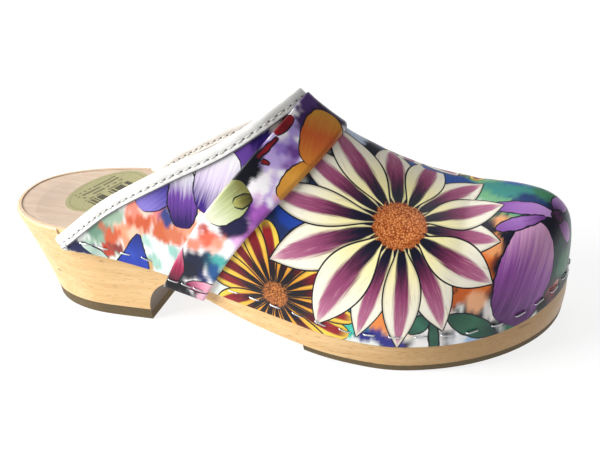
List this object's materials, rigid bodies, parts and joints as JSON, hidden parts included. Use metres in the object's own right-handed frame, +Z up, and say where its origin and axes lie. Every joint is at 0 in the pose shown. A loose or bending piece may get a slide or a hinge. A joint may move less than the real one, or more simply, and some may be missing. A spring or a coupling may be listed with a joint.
{
  "type": "wooden clog",
  "caption": "Closed-toe wooden clog for the right foot: alder sole with block heel, stapled printed leather upper, white topline binding and a fixed instep strap.",
  "frame": {"origin": "on the ground under the middle of the whole clog", "axes": "+X from heel to toe, +Y towards the inner (medial) side of the foot, +Z up"},
  "size_m": [0.2628, 0.096, 0.1023],
  "materials": {
    "alder_wood": "clear satin lacquer on the walls, bare sanded footbed",
    "brown_rubber": "matt, lightly scuffed",
    "printed_leather": "smooth semi-gloss with a floral print",
    "white_leather": "smooth, slightly creased",
    "lining_leather": "matt, fine nap",
    "puff_fibre": "stiffened fibre",
    "thread": "twisted thread",
    "staple_steel": "bright wire",
    "nail_steel": "plain steel",
    "label_paper": "matt paper sticker"
  },
  "bodies": {
    "root": {"wooden_sole": "alder_wood", "heel_lift": "brown_rubber", "forefoot_outsole": "brown_rubber", "vamp_upper": "printed_leather", "instep_strap": "printed_leather", "vamp_lining": "lining_leather", "toe_puff": "puff_fibre", "topline_binding": "white_leather", "binding_stitches": "thread", "upper_staples": "staple_steel", "strap_staples": "staple_steel", "binding_end_staples": "staple_steel", "heel_lift_nails": "nail_steel", "outsole_nails": "nail_steel", "size_label": "label_paper"}
  },
  "joints": []
}
